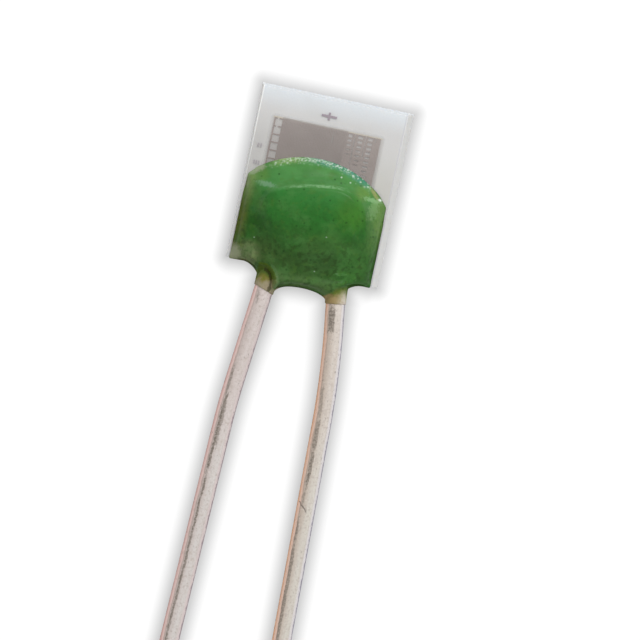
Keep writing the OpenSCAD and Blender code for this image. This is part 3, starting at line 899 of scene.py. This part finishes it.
# Pale spots of thin glass, painted highlights and a painted shadow: where each lies, its share and its colour
SPOTS_AND_PAINTED_LIGHT = [
    # A painted shadow at the left corner of the second step
    (blot(-0.675, 0.895, 0.06, 0.035, -8), 0.7, (42, 100, 42)),
    # Painted highlights along the crest and at its left corner
    (crest_highlight, 0.75, (134, 178, 130)),
    (blot(-0.68, 1.015, 0.15, 0.045, -4, 1.0), 0.65, (122, 158, 126)),
    (blot(0.12, 1.20, 0.26, 0.04, 2, 1.2), 0.1, (106, 156, 112)),
    # Painted highlights at the right corner and down the right shoulder, with a yellowish pale spot among
    # them
    (blot(0.71, 1.09, 0.15, 0.035, -4, 1.2), 0.65, (142, 184, 132)),
    (blot(0.793, 1.115, 0.03, 0.02, -10, 0.4), 0.95, (222, 236, 222)),
    (blot(0.70, 1.19, 0.14, 0.03, -48, 0.8), 0.6, (164, 160, 104)),
    (blot(0.74, 0.97, 0.08, 0.16, -4, 1.2), 0.5, (132, 168, 114)),
    # Pale spots where the glass is thin over the ceramic and over the left lead
    (blot(-0.91, 0.07, 0.11, 0.14, 20, 0.5), 0.9, (158, 164, 134)),
    (blot(-0.90, 1.16, 0.10, 0.07, 35), 0.7, (154, 170, 140)),
    (blot(-0.81, 1.21, 0.10, 0.06, 32), 0.75, (156, 164, 138)),
    (blot(-0.93, 1.00, 0.04, 0.10, 0), 0.5, (134, 150, 108)),
    (blot(-0.34, -0.23, 0.07, 0.12, -8), 0.9, (128, 134, 94)),
]
for where, share, tone in SPOTS_AND_PAINTED_LIGHT:
    colour = glaze.lay(where, share, colour, in_glass(*tone))
# Near the upper left the steep rim is painted as a thin dark line of painted shade, and the skin on the leads
# lets them show through
facing = glaze.add("ShaderNodeNewGeometry").outputs["Normal"]
upward = glaze.add("ShaderNodeSeparateXYZ", {"Vector": facing}).outputs["Z"]
steep_rim_shade = glaze.times(glaze.ramp(upward, 0.40, 0.08), glaze.near(-0.88, lead_edge + 1.20, 0.22, 0.08))
rim_shade_tone = glaze.mix(glaze.along(right, -0.9, -0.6), in_glass(74, 62, 22), in_glass(44, 54, 20))
colour = glaze.lay(steep_rim_shade, 0.85, colour, rim_shade_tone)
# The borders between these tones are uneven: this moves them to and fro along the leads
depth_down = glaze.add("ShaderNodeVectorMath", {0: glaze.in_mm(), 1: inward}, operation="DOT_PRODUCT")
uneven = glaze.ramp(glaze.grain(0.08, 3), 0.25, 0.75, -0.05, 0.05, smooth=False)
down = glaze.plus(depth_down.outputs["Value"], uneven)
thin_skin = glaze.ramp(over_lead, 0.07, 0.03)
# The side of the drop, the start and the end of the change past the lead edge, and the colour
SKIN = [
    (-1, -0.02, 0.08, (92, 110, 48)),
    (-1, 0.08, 0.20, (130, 122, 58)),
    (-1, 0.15, 0.27, (160, 150, 126)),
    (1, 0.00, 0.18, (100, 114, 44)),
    (1, 0.16, 0.26, (160, 138, 98)),
]
for side, start, end, tone in SKIN:
    here = glaze.times(glaze.ramp(down, start - lead_edge, end - lead_edge), thin_skin)
    here = glaze.times(here, glaze.along((side, 0.0, 0.0), 0.0, 0.05))
    colour = glaze.lay(here, 0.9, colour, in_glass(*tone))
# The right collar is creamy down its right side, and a painted highlight whitens it towards its right edge
creamy = glaze.times(glaze.ramp(down, 0.10 - lead_edge, 0.27 - lead_edge), glaze.along(right, 0.44, 0.60))
cream_and_highlight = glaze.mix(glaze.along(right, 0.50, 0.63), in_glass(176, 160, 128), in_glass(218, 212, 198))
cream_and_highlight = glaze.mix(glaze.ramp(glaze.grain(0.04, 4), 0.45, 0.70, 0.0, 0.6), cream_and_highlight, in_glass(164, 150, 112))
colour = glaze.lay(glaze.times(creamy, thin_skin), 0.9, colour, cream_and_highlight)
# The burst bubble left a hollow with a pale lip. Its wall is painted dark olive, partly as painted shade,
# with a dark brown line of painted shade round its inner side in the gap at the lead
wall_shade_share = glaze.ramp(down, 0.25 - lead_edge, 0.16 - lead_edge, 0.2, 0.85)
for mark, share, tone in (
    ("bubble_lip", 0.25, (104, 136, 92)),
    ("bubble_wall", wall_shade_share, (70, 90, 28)),
    ("bubble_line", 0.65, (50, 48, 20)),
):
    colour = glaze.lay(glaze.measured(mark), share, colour, in_glass(*tone))
# Foam is frozen along the far arc. Its band is painted bluish as a painted reflection, whitest left of the
# middle, and full of bright specks painted as glints
from_arc = glaze.measured("from_arc")
foam_and_sheen = glaze.times(glaze.ramp(from_arc, 0.12, 0.03), glaze.near(0.0, 0.33, 0.55, 0.78))
foam_sheen_tone = glaze.mix(glaze.along(right, -0.45, 0.0), in_glass(142, 170, 104), in_glass(78, 144, 128))
colour = glaze.lay(foam_and_sheen, glaze.ramp(glaze.grain(0.035, 3), 0.35, 0.65, 0.3, 0.9), colour, foam_sheen_tone)
foam_glint_band = glaze.times(glaze.ramp(from_arc, 0.09, 0.035), glaze.near(-0.10, 0.33, 0.30, 0.62))
glint_specks = glaze.times(foam_glint_band, glaze.ramp(glaze.grain(0.026, 2), 0.50, 0.64, 0.0, 0.7))
torn = glaze.ramp(glaze.grain(0.012, 2), 0.42, 0.58, 0.25, 1.0)
glint_specks = glaze.larger(glint_specks, glaze.times(glaze.times(foam_and_sheen, torn), glaze.dots(0.036, 0.021)))
stray = glaze.times(glaze.ramp(from_arc, 0.34, 0.10), glaze.near(0.0, 0.33, 0.70, 0.85))
glint_specks = glaze.larger(glint_specks, glaze.times(glaze.times(stray, glaze.dots(0.13, 0.016)), 0.6))
# Pinholes of trapped air, painted as white glints
for x, along in ((-0.69, 0.31), (0.22, 0.50), (0.16, 0.04)):
    glint_specks = glaze.larger(glint_specks, glaze.times(blot(x, along, 0.012, 0.010, 0, 0.8), 0.3))
colour = glaze.mix(glint_specks, colour, in_glass(226, 240, 226))
glaze.set(
    Base_Color=colour,
    Roughness=glaze.larger(
        glaze.ramp(glaze.grain(0.08), 0.3, 0.7, 0.28, 0.42), glaze.ramp(upward, 0.65, 0.25, 0.0, 1.0)
    ),
    Specular_IOR_Level=gloss_level,
    Normal=glaze.relief(
        glaze.times(glaze.grain(0.02, 2), glaze.plus(foam_and_sheen, 1.0)),
        0.0012,
        glaze.relief(glaze.grain(0.10, 2), 0.004),
    ),
    Subsurface_Weight=0.15,
    Subsurface_Radius=(0.4, 1.0, 0.4),
    Subsurface_Scale=0.08 * MM,
    IOR=1.52,
)
glaze.on(drop)


# Floor, light and camera
# A plain white floor under the part, one soft lamp beyond the film end, a weaker one beside it, and a camera
# with a long lens that looks straight down.
floor_half = 30.0
fine_step = 0.04
fine_half_width, fine_margin = 2.2, 0.8


def floor_lines(low, high):
    """Lines across the floor, close together from low to high and sparse out to its edge."""
    fine = np.arange(low, high + fine_step, fine_step)
    return np.concatenate(([-floor_half, low - 1.0], fine, [high + 1.0, floor_half]))


across = floor_lines(-fine_half_width, fine_half_width)
lengthwise = floor_lines(lead_edge - lead_length - fine_margin, chip_high.y + fine_margin)
grid = np.stack(np.meshgrid(across, lengthwise), axis=-1).reshape(-1, 2)
row = len(across)
floor_faces = [
    (r * row + i, r * row + i + 1, (r + 1) * row + i + 1, (r + 1) * row + i)
    for r in range(len(lengthwise) - 1)
    for i in range(row - 1)
]
floor_mesh = bpy.data.meshes.new("floor")
floor_mesh.from_pydata([(x * MM, y * MM, 0.0) for x, y in grid], [], floor_faces)
floor = put_in_scene("floor", floor_mesh)
floor_gap = 0.002
floor.location.z = -floor_gap * MM

# How far each point of the floor is from the part in plan: from the chip, from the leads, and from the glaze
# past the chip
chip_centre = np.array((0.0, (chip_low.y + chip_high.y) / 2))
beyond = np.maximum(abs(grid - chip_centre) - (chip_high.x, chip_high.y), 0.0)
near_part = np.linalg.norm(beyond, axis=1)
for lead in LEADS:
    stops = np.arange(0.0, lead_length, 0.1)
    route = np.array([lead.frame_at(s).translation[:2] for s in stops])
    for start, end in zip(route, route[1:]):
        way = end - start
        t = np.clip((grid - start) @ way / (way @ way), 0.0, 1.0)
        near_part = np.minimum(near_part, np.linalg.norm(grid - start - t[:, None] * way, axis=1) - wire_r)
hanging = points[points[:, 1] < lead_edge, :2]
web_reach, web_gap, batch = 0.9, 0.6, 200
under_web = (grid[:, 1] < lead_edge) & (grid[:, 1] > lead_edge - web_reach)
close = np.flatnonzero((near_part < web_gap) & under_web)
for start in range(0, len(close), batch):
    some = close[start : start + batch]
    gap = np.linalg.norm(grid[some][:, None] - hanging[None, ::3], axis=2).min(axis=1)
    near_part[some] = np.minimum(near_part[some], gap)
keep_at_points(floor_mesh, near_part=np.maximum(near_part, 0.0))
paper = Finish("floor_paper", 0.9)
paper.set(Base_Color=(0.12, 0.12, 0.12, 1.0), Specular_IOR_Level=0.1)


def rays_that_see(tree):
    """1 for rays from the camera, reflected rays and rays through glass."""
    path = tree.nodes.new("ShaderNodeLightPath")
    seen = path.outputs["Is Camera Ray"]
    for kind in ("Is Glossy Ray", "Is Transmission Ray"):
        either = tree.nodes.new("ShaderNodeMath")
        either.operation = "MAXIMUM"
        tree.links.new(seen, either.inputs[0])
        tree.links.new(path.outputs[kind], either.inputs[1])
        seen = either.outputs[0]
    return seen


# The paper is white to such rays, with a soft shadow close round the part, which real shade deepens
shadow_start, shadow_reach = -0.14, 0.27
shadow_tone, paper_tone = 0.36, 0.96
glow = paper.ramp(paper.measured("near_part"), shadow_start, shadow_reach, shadow_tone, paper_tone)
paper.set(
    Emission_Color=(1.0, 1.0, 1.0, 1.0),
    Emission_Strength=paper.times(rays_that_see(paper.tree), glow),
)
paper.on(floor)

world = bpy.data.worlds.new("soft_room")
bpy.context.scene.world = world
world.use_nodes = True
sky = world.node_tree.nodes["Background"]
sky.inputs["Color"].default_value = (1.0, 1.0, 1.0, 1.0)
room_light, room_white = 0.65, 1.0
sky_level = world.node_tree.nodes.new("ShaderNodeMapRange")
sky_level.inputs["To Min"].default_value = room_light
sky_level.inputs["To Max"].default_value = room_white
world.node_tree.links.new(rays_that_see(world.node_tree), sky_level.inputs["Value"])
world.node_tree.links.new(sky_level.outputs["Result"], sky.inputs["Strength"])


def lamp(name, azimuth, height, distance, size, power):
    """A square soft lamp aimed at the drop. Azimuth 0 is beyond the film end and 90 is at its right."""
    aim = Vector((0.0, -0.4, 0.5))
    a, h = math.radians(azimuth), math.radians(height)
    way = Vector((math.sin(a) * math.cos(h), math.cos(a) * math.cos(h), math.sin(h)))
    light = bpy.data.lights.new(name, "AREA")
    light.size, light.energy = size * MM, power
    holder = put_in_scene(name, light)
    holder.location = (aim + way * distance) * MM
    holder.rotation_euler = way.to_track_quat("Z", "Y").to_euler()


lamp("key_lamp", 15, 38, 60, 22, 0.02)
lamp("side_lamp", 95, 30, 60, 16, 0.002)

camera = put_in_scene("camera", bpy.data.cameras.new("camera"))
camera.data.sensor_width = 36.0
camera.data.lens = 392.7
camera.data.clip_start, camera.data.clip_end = 0.001, 1.0
camera_distance = 90.0
camera_roll = 12.04
camera.location = Vector((0.361, -1.705, chip_top + camera_distance)) * MM
camera.rotation_euler = (0.0, 0.0, math.radians(camera_roll))
bpy.context.scene.camera = camera
bpy.context.scene.view_settings.view_transform = "Standard"
